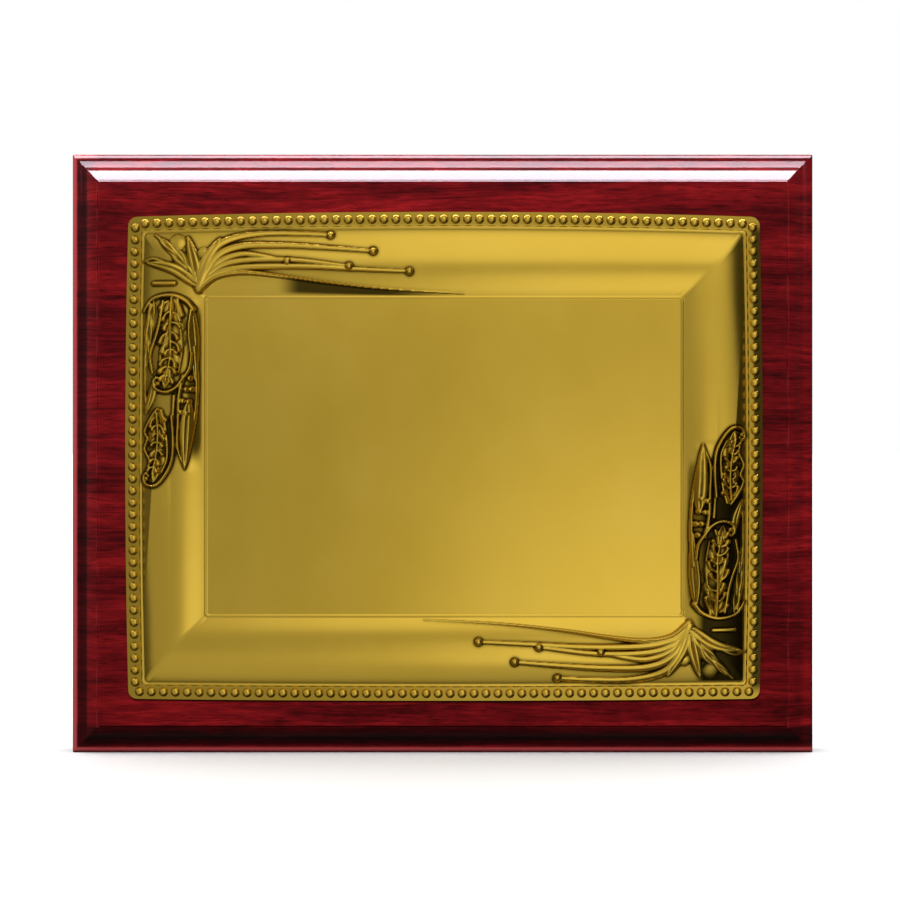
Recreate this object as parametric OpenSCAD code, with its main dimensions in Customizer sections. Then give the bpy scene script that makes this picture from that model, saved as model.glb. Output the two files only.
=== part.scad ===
// Wooden award plaque: a lacquered board with a moulded edge, an embossed brass plate taped to
// its face, two keyhole hanging plates let into its back, and a hinged easel strut.
//
// Frame: +X right, +Y back towards the wall, +Z up, in millimetres. The origin is the middle of
// the board's lower back edge. The board stands upright and the strut is folded shut.

/* [Board] */
// Width of the board
board_w = 260; // [240:1:300]
// Height of the board
board_h = 210; // [190:1:240]
// Thickness of the board at its flat field
board_t = 19; // [18:0.5:22]
// Width of the flat lip around the outside
lip_w = 2; // [1.5:0.1:3]
// Width of the cove, and again of the ovolo inside it
curve_w = 3.5; // [3:0.1:4]
// Steepest angle of the moulding, where the cove meets the ovolo
curve_angle = 55; // [50:1:70]
// Width of the flat between the ovolo and the field
quirk_w = 0.8; // [0.5:0.1:1.5]
// Step from that flat up to the field
quirk_h = 0.6; // [0.5:0.1:1]
// Chamfer that softens the lacquered outer edges
arris = 0.4; // [0.3:0.1:0.8]

/* [Award plate] */
// Width of the plate
plate_w = 222; // [200:1:226]
// Height of the plate
plate_h = 170; // [150:1:174]
// Thickness of the sheet
sheet_t = 0.4; // [0.3:0.1:0.6]
// Radius of the plate's corners
plate_corner_r = 3; // [2:0.5:4]
// How far the plate sits below the board's centre
plate_drop = 1.1; // [0:0.1:2]
// Width of the raised bead border
bead_w = 4.2; // [3:0.1:5]
// Height of the bead border above the flange
bead_rise = 1.2; // [0.8:0.1:1.5]
// Width of the flange that carries the bead border
flange_w = 5.6; // [5.4:0.1:7]
// Distance from the plate's edge to the crest of its raised frame
crest_d = 16.5; // [14:0.5:18]
// Height of that crest above the board
crest_rise = 4; // [3:0.1:5]
// Distance from the plate's edge to the flat centre panel
panel_d = 27.5; // [25:0.5:30]
// Height of the panel above the board
panel_rise = 1.9; // [1.5:0.1:2.5]
// Width of the fine line around the panel
line_w = 0.8; // [0.5:0.1:1.2]
// Height of that line
line_rise = 0.3; // [0.1:0.1:0.5]
// Thickness of the double-sided tape under the flange
tape_t = 0.3; // [0.2:0.1:0.5]
// Width of the tape
tape_w = 4.4; // [3:0.1:5]

/* [Back] */
// Thickness of the flocked lining
lining_t = 0.5; // [0.3:0.1:0.8]
// Bare wood left around the lining
lining_margin = 6; // [4:1:10]
// Radius of a wall bumper at its foot
bumper_r = 6; // [5:0.5:8]
// Height of a wall bumper
bumper_h = 7.5; // [7.5:0.5:10]
// Distance from the board's edges to a bumper's centre
bumper_inset = 18; // [14:1:24]

/* [Hanging plates] */
// Distance between the two keyholes
hanger_pitch = 170; // [120:5:180]
// Height of the keyholes' round entries above the board's lower edge
keyhole_z = 170; // [150:1:172]
// Radius of a keyhole's round entry
keyhole_r = 4.5; // [4:0.1:5]
// Width of a keyhole's slot
slot_w = 5; // [4.5:0.1:5.2]
// Rise from the entry to the end of the slot
slot_rise = 12; // [10:0.5:12]
// Size of a hanging plate
hanger_size = [20, 44, 1.2];

/* [Strut] */
// Height of the hinge pin above the board's lower edge
hinge_z = 125; // [115:1:135]
// Distance from the hinge pin to the tip of the strut's foot
strut_length = 122.5; // [100:0.5:123]
// Angle at which the heel of the hinge stops the strut
open_angle = 28; // [24:1:30]
// Width of the leg at its top
leg_top_w = 26; // [24:1:34]
// Width of the leg at its foot
leg_foot_w = 46; // [36:1:56]
// Thickness of the leg
leg_t = 2.5; // [2:0.1:2.5]
// Radius of the hinge pin
pin_r = 1.25; // [1:0.05:1.3]

/* [Hidden] */
$fn = 64;

// Lengths of the steps in the curved sections
arc_steps = 8;
// Overshoot of a cut past the face that it opens
cut = 1;

// Moulding: two equal arcs, a cove and then an ovolo
curve_r = curve_w / sin(curve_angle);
crown_t = board_t - quirk_h;
lip_t = crown_t - 2 * curve_r * (1 - cos(curve_angle));
field_d = lip_w + 2 * curve_w + quirk_w;

// Plate heights are counted from the board's field
flange_rise = tape_t + sheet_t;
plate_z = board_h / 2 - plate_drop;
pad_inset = panel_d + 3;
tape_inset = 0.8;

// Hanging plates
hanger_x = hanger_pitch / 2;
hanger_z = keyhole_z + 5;
hanger_corner_r = 2;
hanger_screw_z = 17;
pocket_r = 8;
pocket_depth = 10;
pocket_rise = slot_rise - 2;
hanger_gap = 0.25;
window_gap = 0.5;

// Screws
screw_r = 1.4;
screw_head_r = 3;
screw_depth = 9;
screw_gap = 0.2;
pan_head_h = 1.6;

// Hinge
steel_t = 1.2;
pin_y = lining_t + steel_t + 2.8;
pin_gap = 0.05;
knuckle_r = 2.4;
knuckle_w = 19.8;
ear_r = 2.6;
ear_gap = 0.3;
ear_x = knuckle_w / 2 + ear_gap;
base_w = 30;
base_top = 24;
base_corner_r = 3;
base_screws = [[-9, 17], [9, 17], [0, 10.5]];
pin_head_r = 2.1;
pin_head_t = 0.8;
heel_w = 16;
leaf_drop = 34;
leaf_y = pin_y - steel_t / 2;
// The heel's inner corner meets the base plate at the open angle, less a hair of clearance
heel_reach = pin_y - lining_t - steel_t - pin_gap;
heel_rise = (heel_reach - steel_t / 2 * cos(open_angle)) / sin(open_angle);

// Leg, rivets and foot
leg_gap = 4;
leg_corner_r = 4;
foot_h = 7.5;
foot_wall = 0.6;
foot_floor = 1;
rivet_r = 1.5;
rivet_head_r = 2.6;
rivet_head_h = 1;
rivet_back_h = 0.4;
rivet_drops = [13, 26];
foot_z = hinge_z - strut_length;

// Points along an arc about a centre, both angles included
function arc(centre, r, from, to) =
  [for (i = [0:arc_steps]) let (a = from + (to - from) * i / arc_steps) centre + r * [cos(a), sin(a)]];

// Radius of the arc that leaves a crest level and drops by a height over a run
function crest_r(run, drop) = (run * run + drop * drop) / (2 * drop);

// Section of the board's edge as [distance in from the edge, height from the back]
function board_edge() = concat(
  [[0, 0], [0, lip_t - arris], [arris, lip_t]],
  arc([lip_w, lip_t + curve_r], curve_r, -90, curve_angle - 90),
  arc([lip_w + 2 * curve_w, crown_t - curve_r], curve_r, 90 + curve_angle, 90),
  [[field_d, crown_t], [field_d, board_t - arris / 2], [field_d + arris / 2, board_t]]
);

// Section of the plate's front as [distance in from the edge, height from the board]
function plate_front() =
  let (
    bead_r = crest_r(bead_w / 2, bead_rise),
    bead_a = asin(bead_w / 2 / bead_r),
    rise_run = crest_d - flange_w,
    rise_r = crest_r(rise_run, crest_rise - flange_rise),
    fall_run = panel_d - crest_d,
    fall_r = crest_r(fall_run, crest_rise - panel_rise),
    bead_top = flange_rise + bead_rise
  )
  concat(
    [[0, flange_rise]],
    arc([tape_inset + bead_w / 2, bead_top - bead_r], bead_r, 90 + bead_a, 90 - bead_a),
    arc([crest_d, crest_rise - rise_r], rise_r, 90 + asin(rise_run / rise_r), 90),
    arc([crest_d, crest_rise - fall_r], fall_r, 90, 90 - asin(fall_run / fall_r)),
    [
      [panel_d + line_w / 4, panel_rise + line_rise],
      [panel_d + line_w * 3 / 4, panel_rise + line_rise],
      [panel_d + line_w, panel_rise]
    ]
  );

// A rectangular panel with the same edge section along all four sides, mitred at its corners.
// The section's first number runs in from the edge, its second runs forwards along -Y.
module mitred_panel(section, w, h) {
  reach = min(w, h) / 2;
  for (side = [0:3]) {
    along = side % 2 == 0 ? w : h;
    across = side % 2 == 0 ? h : w;
    rotate([0, 90 * side, 0]) translate([0, 0, -across / 2]) intersection() {
      rotate([0, -90, 0]) linear_extrude(along, center = true)
        polygon([for (p = section) [p.x, -p.y]]);
      rotate([90, 0, 0]) linear_extrude(2 * (board_t + crest_rise), center = true) polygon([
        [-along / 2, 0], [along / 2, 0], [along / 2 - reach, reach], [reach - along / 2, reach]
      ]);
    }
  }
}

// A plate with rounded corners in the XZ plane, from y = 0 back to y = t
module rounded_plate(w, h, t, r) {
  translate([0, t, 0]) rotate([90, 0, 0]) linear_extrude(t) {
    square([w - 2 * r, h], center = true);
    square([w, h - 2 * r], center = true);
    for (x = [-1, 1], z = [-1, 1]) translate([x * (w / 2 - r), z * (h / 2 - r)]) circle(r);
  }
}

// A round bar along +Y from y = 0
module rod_y(r, length) {
  rotate([-90, 0, 0]) cylinder(h = length, r = r);
}

// The places of the parts that come in pairs
module at_hanger(side) {
  translate([side * hanger_x, 0, hanger_z]) children();
}

module at_hanger_screws() {
  for (end = [-1, 1]) translate([0, 0, end * hanger_screw_z]) children();
}

module at_hinge_screws() {
  for (p = base_screws) translate([p.x, 0, hinge_z + p.y]) children();
}

// An upright slot with round ends, cut along Y, whose lower end lies on a keyhole's entry
module keyhole_slot(r, rise, depth) {
  translate([0, 0, keyhole_z - hanger_z]) {
    rod_y(r, depth);
    translate([0, 0, rise]) rod_y(r, depth);
    translate([-r, 0, 0]) cube([2 * r, depth, rise]);
  }
}

module board() {
  edge = board_edge();
  reach = min(board_w, board_h) / 2;
  color([0.42, 0.07, 0.09]) difference() {
    translate([0, 0, board_h / 2])
      mitred_panel(concat(edge, [[reach, board_t], [reach, 0]]), board_w, board_h);
    for (side = [-1, 1]) at_hanger(side) {
      translate([0, -hanger_size.z, 0]) rounded_plate(
        hanger_size.x + 2 * hanger_gap, hanger_size.y + 2 * hanger_gap,
        hanger_size.z + cut, hanger_corner_r
      );
      translate([0, -pocket_depth, 0]) keyhole_slot(pocket_r, pocket_rise, pocket_depth);
      at_hanger_screws() translate([0, -screw_depth, 0]) rod_y(screw_r, screw_depth);
    }
    at_hinge_screws() translate([0, -screw_depth, 0]) rod_y(screw_r, screw_depth + cut);
  }
}

module back_lining() {
  color([0.06, 0.06, 0.06]) difference() {
    translate([0, 0, board_h / 2])
      rounded_plate(board_w - 2 * lining_margin, board_h - 2 * lining_margin, lining_t, 2);
    for (side = [-1, 1]) at_hanger(side) translate([0, -cut, 0]) rounded_plate(
      hanger_size.x + 2 * window_gap, hanger_size.y + 2 * window_gap,
      lining_t + 2 * cut, hanger_corner_r
    );
    at_hinge_screws() translate([0, -cut, 0]) rod_y(screw_r + screw_gap, lining_t + 2 * cut);
  }
}

// The sheet follows its front section at a constant depth, so the raised frame is hollow behind
module award_plate() {
  front = plate_front();
  reach = min(plate_w, plate_h) / 2;
  last = len(front) - 1;
  back = [for (i = [last:-1:0]) [front[i].x, front[i].y - sheet_t]];
  section = concat(front, [[reach, panel_rise], [reach, panel_rise - sheet_t]], back);
  depth = board_t + crest_rise;
  color([0.75, 0.6, 0.2]) intersection() {
    translate([0, -board_t, plate_z]) mitred_panel(section, plate_w, plate_h);
    translate([0, -depth - cut, plate_z])
      rounded_plate(plate_w, plate_h, depth, plate_corner_r);
  }
}

module panel_pad() {
  t = panel_rise - sheet_t;
  color([0.92, 0.92, 0.9]) translate([0, -board_t - t, plate_z])
    rounded_plate(plate_w - 2 * pad_inset, plate_h - 2 * pad_inset, t, 1);
}

// A strip of tape under the flange, centred at a point of the plate
module tape(x, z, w, h) {
  color([0.95, 0.94, 0.88]) translate([x - w / 2, -board_t - tape_t, plate_z + z - h / 2])
    cube([w, tape_t, h]);
}

module tape_along(end) {
  tape(0, end * (plate_h / 2 - tape_inset - tape_w / 2), plate_w - 4 * plate_corner_r, tape_w);
}

module tape_up(side) {
  tape(side * (plate_w / 2 - tape_inset - tape_w / 2), 0, tape_w, plate_h - 4 * plate_corner_r);
}

module hanger_plate(side) {
  color([0.7, 0.7, 0.72]) at_hanger(side) difference() {
    translate([0, -hanger_size.z, 0])
      rounded_plate(hanger_size.x, hanger_size.y, hanger_size.z, hanger_corner_r);
    translate([0, -hanger_size.z - cut, 0]) {
      keyhole_slot(slot_w / 2, slot_rise, hanger_size.z + 2 * cut);
      translate([0, 0, keyhole_z - hanger_z]) rod_y(keyhole_r, hanger_size.z + 2 * cut);
    }
    at_hanger_screws() countersunk_head();
  }
}

// The cone of a countersunk head that is flush with y = 0
module countersunk_head() {
  translate([0, -hanger_size.z, 0]) rotate([-90, 0, 0])
    cylinder(h = hanger_size.z, r1 = screw_r, r2 = screw_head_r);
}

module cross_slot(top) {
  for (turn = [0, 90]) translate([0, top - 0.5, 0]) rotate([0, turn, 0])
    translate([-1.6, 0, -0.35]) cube([3.2, cut, 0.7]);
}

module hanger_screws() {
  color([0.75, 0.75, 0.78]) for (side = [-1, 1]) at_hanger(side) at_hanger_screws() difference() {
    union() {
      countersunk_head();
      translate([0, -screw_depth, 0]) rod_y(screw_r, screw_depth - hanger_size.z);
    }
    cross_slot(0);
  }
}

// A rubber bumper, turned about its own axis, with a flat end that meets the wall
module bumper(side, end) {
  tip_r = bumper_r - 1;
  color([0.12, 0.12, 0.12]) translate([
    side * (board_w / 2 - bumper_inset), lining_t, board_h / 2 + end * (board_h / 2 - bumper_inset)
  ]) rotate([-90, 0, 0]) rotate_extrude() polygon([
    [0, 0], [bumper_r, 0], [bumper_r, 1], [tip_r + 0.4, bumper_h - 1], [tip_r - 0.6, bumper_h], [0, bumper_h]
  ]);
}

// A steel base plate with two ears that carry the pin
module hinge_base() {
  base_h = base_top + ear_r;
  color([0.72, 0.72, 0.74]) difference() {
    union() {
      translate([0, lining_t, hinge_z + (base_top - ear_r) / 2])
        rounded_plate(base_w, base_h, steel_t, base_corner_r);
      for (x = [-ear_x - steel_t, ear_x]) translate([x, 0, hinge_z]) rotate([90, 0, 90])
        linear_extrude(steel_t) {
          translate([pin_y, 0]) circle(ear_r);
          translate([lining_t, -ear_r]) square([pin_y - lining_t, 2 * ear_r]);
        }
    }
    translate([-base_w / 2, pin_y, hinge_z]) rotate([0, 90, 0]) cylinder(h = base_w, r = pin_r);
    at_hinge_screws() rod_y(screw_r + screw_gap, lining_t + steel_t + cut);
  }
}

module hinge_screws() {
  head_y = lining_t + steel_t;
  color([0.75, 0.75, 0.78]) at_hinge_screws() difference() {
    union() {
      translate([0, -screw_depth, 0]) rod_y(screw_r, screw_depth + head_y);
      translate([0, head_y, 0]) rotate([-90, 0, 0])
        cylinder(h = pan_head_h, r1 = screw_head_r, r2 = screw_head_r - 0.8);
    }
    cross_slot(head_y + pan_head_h);
  }
}

module hinge_pin() {
  half = ear_x + steel_t;
  color([0.8, 0.8, 0.82]) translate([0, pin_y, hinge_z]) rotate([0, 90, 0]) {
    cylinder(h = 2 * half, r = pin_r, center = true);
    for (end = [-1, 1]) translate([0, 0, end * (half + pin_head_t / 2)])
      cylinder(h = pin_head_t, r = pin_head_r, center = true);
  }
}

// The leaf turns on the pin. Its heel, above the knuckle, stops against the base plate.
module hinge_leaf() {
  color([0.72, 0.72, 0.74]) difference() {
    union() {
      translate([0, pin_y, hinge_z]) rotate([0, 90, 0])
        cylinder(h = knuckle_w, r = knuckle_r, center = true);
      translate([-knuckle_w / 2, leaf_y, hinge_z - leaf_drop + knuckle_w / 2])
        cube([knuckle_w, steel_t, leaf_drop - knuckle_w / 2]);
      translate([0, leaf_y, hinge_z - leaf_drop + knuckle_w / 2]) rod_y(knuckle_w / 2, steel_t);
      translate([-heel_w / 2, leaf_y, hinge_z]) cube([heel_w, steel_t, heel_rise]);
    }
    translate([-base_w / 2, pin_y, hinge_z]) rotate([0, 90, 0])
      cylinder(h = base_w, r = pin_r + pin_gap);
    at_rivets() rod_y(rivet_r, pin_y + cut);
  }
}

module at_rivets() {
  for (drop = rivet_drops) translate([0, 0, hinge_z - drop]) children();
}

// Domed rivets through the leaf and the leg
module leaf_rivets() {
  outer_y = leaf_y + steel_t;
  inner_y = leaf_y - leg_t;
  dome_r = crest_r(rivet_head_r, rivet_head_h);
  color([0.8, 0.8, 0.82]) at_rivets() {
    translate([0, inner_y, 0]) rod_y(rivet_r, outer_y - inner_y);
    translate([0, inner_y - rivet_back_h, 0]) rod_y(rivet_head_r, rivet_back_h);
    intersection() {
      translate([0, outer_y + rivet_head_h - dome_r, 0]) sphere(dome_r);
      translate([0, outer_y, 0]) rod_y(rivet_head_r, rivet_head_h + cut);
    }
  }
}

// The leg widens towards its foot and lies flat behind the board when it is folded
module strut_leg() {
  top_z = hinge_z - leg_gap;
  low_z = foot_z + foot_floor;
  color([0.1, 0.1, 0.1]) difference() {
    translate([0, leaf_y, 0]) rotate([90, 0, 0]) linear_extrude(leg_t) polygon(concat(
      [[leg_foot_w / 2, low_z], [leg_foot_w / 2, low_z + foot_h]],
      arc([leg_top_w / 2 - leg_corner_r, top_z - leg_corner_r], leg_corner_r, 0, 90),
      arc([leg_corner_r - leg_top_w / 2, top_z - leg_corner_r], leg_corner_r, 90, 180),
      [[-leg_foot_w / 2, low_z + foot_h], [-leg_foot_w / 2, low_z]]
    ));
    at_rivets() rod_y(rivet_r, pin_y + cut);
  }
}

// A rubber shoe that the end of the leg is pushed into
module strut_foot() {
  inner_y = leaf_y - leg_t;
  shoe_w = leg_foot_w + 2 * foot_floor;
  color([0.15, 0.15, 0.15]) difference() {
    translate([-shoe_w / 2, inner_y - foot_wall, foot_z]) cube([shoe_w, leg_t + 2 * foot_wall, foot_h]);
    translate([-leg_foot_w / 2, inner_y, foot_z + foot_floor]) cube([leg_foot_w, leg_t, foot_h]);
  }
}

board();
back_lining();
award_plate();
panel_pad();
tape_along(1);  // tape_top
tape_along(-1);  // tape_bottom
tape_up(-1);  // tape_left
tape_up(1);  // tape_right
hanger_plate(-1);  // hanger_plate_left
hanger_plate(1);  // hanger_plate_right
hanger_screws();
bumper(-1, 1);  // bumper_top_left
bumper(1, 1);  // bumper_top_right
bumper(-1, -1);  // bumper_bottom_left
bumper(1, -1);  // bumper_bottom_right
hinge_base();
hinge_screws();
hinge_pin();
hinge_leaf();
leaf_rivets();
strut_leg();
strut_foot();
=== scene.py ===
import math

import bmesh
import bpy
import numpy as np
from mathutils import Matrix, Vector


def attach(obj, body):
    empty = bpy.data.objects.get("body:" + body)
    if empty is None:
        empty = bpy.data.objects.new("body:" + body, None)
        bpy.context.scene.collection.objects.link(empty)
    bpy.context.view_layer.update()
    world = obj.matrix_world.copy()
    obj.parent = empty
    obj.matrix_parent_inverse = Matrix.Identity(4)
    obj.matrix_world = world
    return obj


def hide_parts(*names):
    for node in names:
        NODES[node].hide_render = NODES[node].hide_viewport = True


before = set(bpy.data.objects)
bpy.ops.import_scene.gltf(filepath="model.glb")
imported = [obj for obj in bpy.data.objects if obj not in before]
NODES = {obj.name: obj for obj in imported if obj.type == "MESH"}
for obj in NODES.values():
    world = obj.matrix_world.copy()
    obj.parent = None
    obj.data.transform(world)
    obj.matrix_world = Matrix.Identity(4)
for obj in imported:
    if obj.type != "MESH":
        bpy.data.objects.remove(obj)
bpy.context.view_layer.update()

# Everything below is in millimetres until a mesh is made.
MM = 0.001

# Board
BOARD_W = 260.0
BOARD_H = 210.0
BOARD_T = 19.0
LIP_W = 2.1
LIP_R = 1.4
COVE_W = 3.1
OVOLO_W = 4.2
CURVE_ANGLE = 52.0
CROWN_ANGLE = 12.0
QUIRK_W = 0.4
QUIRK_H = 0.6
ARRIS_R = 0.4
MITRE_R = 0.3
SHARP_FROM = 28

# Hanging plates let into the back, and the pockets behind their keyholes
HANGER_X = 85
HANGER_Z = 175
LET_IN_W = 20.5
LET_IN_H = 44.5
LET_IN_T = 1.2
KEYHOLE_Z = 170
KEYHOLE_RISE = 10
POCKET_R = 8
POCKET_T = 10

# Zones of the board's finish, painted shade and painted highlights: the stretches over which they
# fade in or out.
# Distances in from the board's edge
# Where the painted highlight on the left lip ends
LIP_HIGHLIGHT_END = (1.2, 2.0)
DULL_LIP_END = (1.4, 2.2)
COVE_START = (1.6, 2.4)
COVE_END = (5.0, 5.8)
DULL_COVE_END = (5.0, 6.7)
ARRIS_START = (8.8, 9.2)
ARRIS_END = (9.8, 10.2)
FIELD_START = (9.0, 9.6)
# Heights above the board's lower edge
# Where the painted highlight on the lower lip ends
LOW_LIP_END = (1.5, 2.2)
# Where the painted shade along the bottom moulding fades in and out
LOW_SHADE_START = (2.2, 3.0)
LOW_SHADE_END = (9.0, 10.1)
# Distances from the middle, to either side
FIELD_ENDS = (105, 115)
SIDES = (118, 126)
# Distances from the board's back
FRONT = (12.6, 13.6)

# Award plate
PLATE_W = 222.0
PLATE_H = 170.0
PLATE_X = 0.5
PLATE_Z = BOARD_H / 2 - 1.1
PLATE_CORNER_R = 3.0
SHEET_T = 0.4
TAPE_INSET = 1.4
TAPE_W = 3.4
TAPE_END = 7
FLANGE_RISE = 0.7
FLANGE_W = 5.6
RIM_W = 1.0
RIM_RISE = 0.4
CREST_D = 16.5
CREST_RISE = 4.0
PANEL_D = 27.5
PANEL_RISE = 1.9
LINE_W = 0.8
LINE_RISE = 0.3
BAND_D = 29.0
# The top and bottom of the frame are a little deeper than its sides.
LEVEL_CREST_D = 18.2
LEVEL_PANEL_D = 29.1
LEVEL_BAND_D = 30.5
BEAD_D = 2.55
BEAD_COUNT = 181
BEAD_R = 1.72
BEAD_FLATTENING = 0.80
# Direction of the painted shade on the beads: down and to the right
BEAD_SHADE = (0.45, -0.35, -0.82)

# Grid of the sheet's mesh: fine, coarse and panel steps, and how much plainer its back is
FINE = 0.25
COARSE = 1.5
PANEL_STEP = 2.0
BACK_STRIDE = 8
MARGIN = 8

# Strength of the painted shade on the lower right spray and on its twin
GROUND_LOW = 0.97
GROUND_HIGH = 0.22
CREASE_LOW = 1.0
CREASE_HIGH = 0.95
SHADOW_HIGH = 0.9

# Studio
WORLD_LEVEL = 0.55
CAMERA_X = 2.6
CAMERA_Z = 106.2
CAMERA_DISTANCE = 873
FLOOR_HALF = 60000
# Cards light the plate only: (name, left, right, low, high, glow, y), from the plate's centre.
CARDS = [
    ("front_card", -900, 620, -900, 900, 0.39, -540),
    ("low_card", 0, 360, -340, -30, 0.72, -520),
    ("side_card", 30, 230, -45, 35, 0.33, -510),
    ("high_card", -110, 400, 122, 850, 0.68, -500),
    ("under_card", -420, 200, -1100, -150, 0.12, -490),
]


# ---------------------------------------------------------------- meshes


def add_object(name, mesh):
    obj = bpy.data.objects.new(name, mesh)
    bpy.context.scene.collection.objects.link(obj)
    return obj


def solid(name, vertices, faces, sharp_from=None):
    """A mesh object from points in millimetres. Bends of over sharp_from degrees stay sharp."""
    mesh = bpy.data.meshes.new(name)
    mesh.from_pydata([tuple(c * MM for c in v) for v in vertices], [], faces)
    mesh.validate()
    if sharp_from is not None:
        mesh.shade_smooth()
        mesh.set_sharp_from_angle(angle=math.radians(sharp_from))
    return add_object(name, mesh)


def arc(centre, radius, start, end, steps):
    """Points along an arc, both ends included, angles in degrees."""
    turns = [math.radians(start + (end - start) * i / steps) for i in range(steps + 1)]
    return [(centre[0] + radius * math.cos(a), centre[1] + radius * math.sin(a)) for a in turns]


def rounded_box(width, height, radius, steps):
    """Points around a rectangle with rounded corners, centred on the origin."""
    outline = []
    for sx, sz, turn in ((1, 1, 0), (-1, 1, 90), (-1, -1, 180), (1, -1, 270)):
        centre = (sx * (width / 2 - radius), sz * (height / 2 - radius))
        outline += arc(centre, radius, turn, turn + 90, steps)
    return outline


def loft(name, loops, sharp_from):
    """A closed skin through loops of equal length, with a flat cap at each end."""
    count = len(loops[0])
    vertices = [p for loop in loops for p in loop]
    faces = []
    for i in range(len(loops) - 1):
        for j in range(count):
            k = (j + 1) % count
            faces.append((i * count + j, i * count + k, (i + 1) * count + k, (i + 1) * count + j))
    faces.append(tuple(range(count))[::-1])
    faces.append(tuple((len(loops) - 1) * count + j for j in range(count)))
    return solid(name, vertices, faces, sharp_from)


def face_outwards(obj):
    """Makes every face of a closed mesh point outwards."""
    work = bmesh.new()
    work.from_mesh(obj.data)
    bmesh.ops.recalc_face_normals(work, faces=work.faces)
    work.to_mesh(obj.data)
    work.free()


def apply_modifiers(obj):
    """Replaces an object's mesh by what its modifiers make of it."""
    graph = bpy.context.evaluated_depsgraph_get()
    made = bpy.data.meshes.new_from_object(obj.evaluated_get(graph))
    obj.modifiers.clear()
    obj.data = made
    return obj


# ---------------------------------------------------------------- finishes


class Nodes:
    """Adds nodes to one node tree."""

    def __init__(self, tree):
        self.tree = tree

    def plug(self, value, socket):
        """Links an output to a socket, or sets the socket to a number or colour."""
        if isinstance(value, bpy.types.NodeSocket):
            self.tree.links.new(value, socket)
        elif isinstance(value, tuple) and len(value) == 3 and len(socket.default_value) == 4:
            socket.default_value = (*value, 1.0)
        else:
            socket.default_value = value

    def add(self, kind, inputs=None, out=0, **settings):
        """Adds a node and returns one of its outputs. Inputs are a list or go by name."""
        node = self.tree.nodes.new(kind)
        for name, value in settings.items():
            setattr(node, name, value)
        pairs = inputs.items() if isinstance(inputs, dict) else enumerate(inputs or [])
        for name, value in pairs:
            self.plug(value, node.inputs[name])
        return node.outputs[out]

    def math(self, operation, *values):
        return self.add("ShaderNodeMath", list(values), operation=operation)

    def product(self, first, *others):
        for other in others:
            first = self.math("MULTIPLY", first, other)
        return first

    def span(self, value, low, high, start=0.0, end=1.0):
        """Remaps a value smoothly from low..high to start..end."""
        return self.add(
            "ShaderNodeMapRange", [value, low, high, start, end], interpolation_type="SMOOTHSTEP"
        )

    def parts(self, vector):
        node = self.tree.nodes.new("ShaderNodeSeparateXYZ")
        self.plug(vector, node.inputs[0])
        return node.outputs


class Finish(Nodes):
    """A node material for one of the plaque's finishes."""

    def __init__(self, name):
        self.material = bpy.data.materials.new(name)
        self.material.use_nodes = True
        super().__init__(self.material.node_tree)
        self.shader = self.tree.nodes["Principled BSDF"]
        self.place = self.add("ShaderNodeTexCoord", out="Object")

    def set(self, **values):
        """Sets sockets of the shader; underscores in the names stand for spaces."""
        for name, value in values.items():
            self.plug(value, self.shader.inputs[name.replace("_", " ")])

    def scaled(self, x, y, z, place=None):
        """The place on the piece, stretched to a number of features a metre each way."""
        return self.add(
            "ShaderNodeVectorMath", [place or self.place, (x, y, z)], operation="MULTIPLY"
        )

    def noise(self, place, detail=2.0, roughness=0.5, distortion=0.0):
        return self.add("ShaderNodeTexNoise", {
            "Vector": place, "Scale": 1.0, "Detail": detail,
            "Roughness": roughness, "Distortion": distortion,
        })

    def span_mm(self, value, low, high, start=0.0, end=1.0):
        """As span, with low and high in millimetres."""
        return self.span(value, low * MM, high * MM, start, end)

    def zone(self, value, rise, fall, height=1.0):
        """Rises over one stretch of millimetres and falls over another."""
        return self.product(self.span_mm(value, *rise), self.span_mm(value, *fall, height, 0.0))

    def ramp(self, value, stops):
        """A colour ramp; stops are (place, (red, green, blue))."""
        node = self.tree.nodes.new("ShaderNodeValToRGB")
        self.plug(value, node.inputs[0])
        elements = node.color_ramp.elements
        while len(elements) < len(stops):
            elements.new(0.5)
        for element, (place, colour) in zip(elements, stops):
            element.position = place
            element.color = (*colour, 1.0)
        return node.outputs[0]

    def blend(self, factor, first, second):
        node = self.tree.nodes.new("ShaderNodeMix")
        node.data_type = "RGBA"
        for index, value in ((0, factor), (6, first), (7, second)):
            self.plug(value, node.inputs[index])
        return node.outputs[2]

    def bump(self, height, strength, distance, socket="Normal"):
        """Gives the surface, or its clear coat, a fine texture."""
        self.set(**{socket: self.add("ShaderNodeBump", {
            "Height": height, "Strength": strength, "Distance": distance,
        })})


def rosewood_grain(finish):
    """Colour of dark red rosewood and its fine streaks. The grain runs along X."""
    x, _, z = finish.parts(finish.place)
    sway = finish.noise(finish.scaled(14, 14, 40), 2.0, 0.55)
    wander = finish.add("ShaderNodeCombineXYZ", [
        x, 0.0, finish.math("MULTIPLY_ADD", sway, 0.007, z)
    ])
    bands = finish.noise(finish.scaled(7, 1, 85, wander), 3.0, 0.6)
    streaks = finish.noise(finish.scaled(55, 1, 1900, wander), 4.0, 0.7)
    fibres = finish.noise(finish.scaled(130, 1, 700, wander), 3.0, 0.6)
    figure = finish.noise(finish.scaled(18, 1, 210, wander), 2.0, 0.5, 1.4)
    tone = finish.math("MULTIPLY", bands, 0.34)
    for part, share in ((streaks, 0.30), (fibres, 0.22), (figure, 0.26)):
        tone = finish.math("MULTIPLY_ADD", part, share, tone)
    colour = finish.ramp(tone, [
        (0.43, (0.032, 0.0032, 0.0038)),
        (0.50, (0.098, 0.0046, 0.0060)),
        (0.57, (0.190, 0.0068, 0.0092)),
        (0.66, (0.350, 0.0125, 0.0150)),
    ])
    pores = finish.span(
        finish.noise(finish.scaled(150, 1, 2600, wander), 1.0), 0.62, 0.72, 0.0, 0.75
    )
    return finish.blend(pores, colour, (0.022, 0.0025, 0.003)), streaks


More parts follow.
